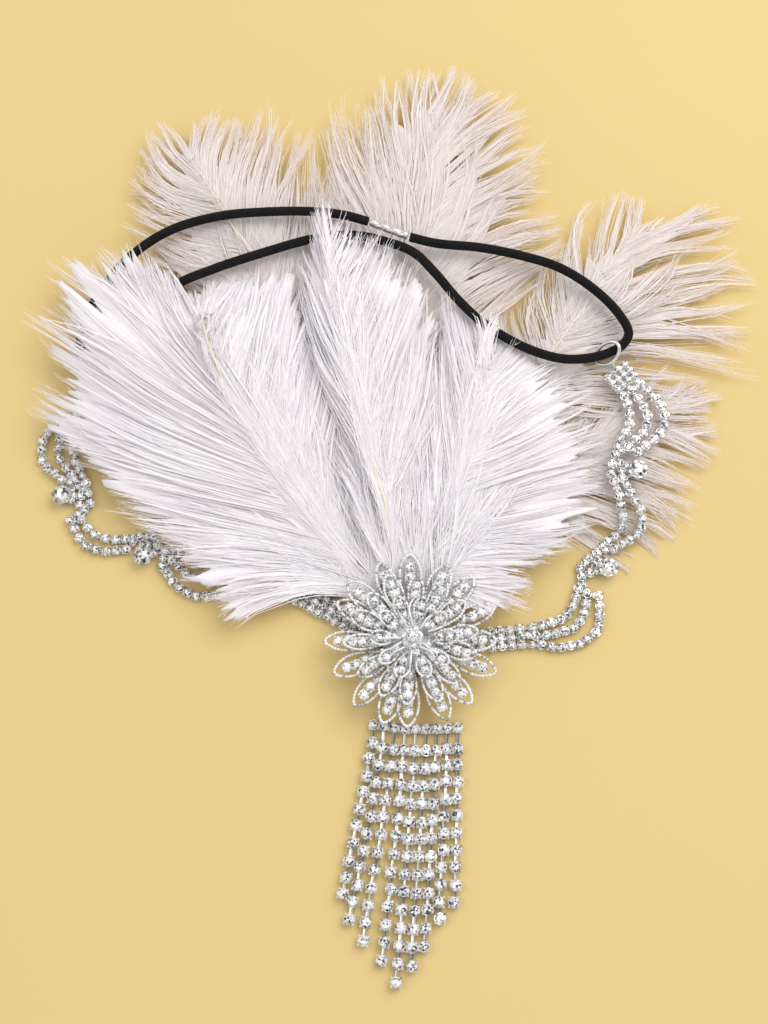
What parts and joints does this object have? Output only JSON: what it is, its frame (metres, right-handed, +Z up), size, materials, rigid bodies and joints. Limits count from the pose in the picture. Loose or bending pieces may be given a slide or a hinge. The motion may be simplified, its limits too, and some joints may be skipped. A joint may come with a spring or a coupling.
{
  "type": "flapper feather headband",
  "caption": "Headband lying flat: layered rhinestone flower with a stone fringe, a fan of white ostrich plumes behind it, swagged stone side chains and a black elastic back loop.",
  "frame": {"origin": "middle of the flower brooch's flat back plate, on the surface that the headband lies on", "axes": "+Z up out of the front of the flower, +Y from the flower towards the plume tips, +X to the right of the flower seen from the front"},
  "size_m": [0.227, 0.2863, 0.0215],
  "materials": {
    "silver_metal": "bright silver plating, slightly worn",
    "rhinestone": "clear faceted foil-backed crystal",
    "ostrich_feather": "soft white ostrich barbs, faintly warm",
    "elastic_black": "matte braided elastic cord"
  },
  "bodies": {
    "root": {"brooch_base": "silver_metal", "petals_outer": "silver_metal", "petals_middle": "silver_metal", "petals_inner": "silver_metal", "centre_stone": "rhinestone", "fringe_bar": "rhinestone", "fringe_strand_1": "rhinestone", "fringe_strand_2": "rhinestone", "fringe_strand_3": "rhinestone", "fringe_strand_4": "rhinestone", "fringe_strand_5": "rhinestone", "fringe_strand_6": "rhinestone", "fringe_strand_7": "rhinestone", "fringe_strand_8": "rhinestone", "fringe_strand_9": "rhinestone", "band_right": "rhinestone", "swag_1_right": "rhinestone", "swag_2_right": "rhinestone", "swag_3_right": "rhinestone", "cluster_1_right": "rhinestone", "crystal_1_right": "rhinestone", "cluster_2_right": "rhinestone", "crystal_2_right": "rhinestone", "end_block_right": "rhinestone", "end_ring_right": "silver_metal", "band_left": "rhinestone", "swag_1_left": "rhinestone", "swag_2_left": "rhinestone", "swag_3_left": "rhinestone", "cluster_1_left": "rhinestone", "crystal_1_left": "rhinestone", "cluster_2_left": "rhinestone", "crystal_2_left": "rhinestone", "end_block_left": "rhinestone", "end_ring_left": "silver_metal", "elastic_cord": "elastic_black", "crimp_sleeve": "silver_metal", "plume_front_left": "ostrich_feather", "plume_front_centre": "ostrich_feather", "plume_front_right": "ostrich_feather", "plume_rear_left": "ostrich_feather", "plume_rear_centre": "ostrich_feather", "plume_rear_right": "ostrich_feather", "plume_rear_low": "ostrich_feather"}
  },
  "joints": []
}
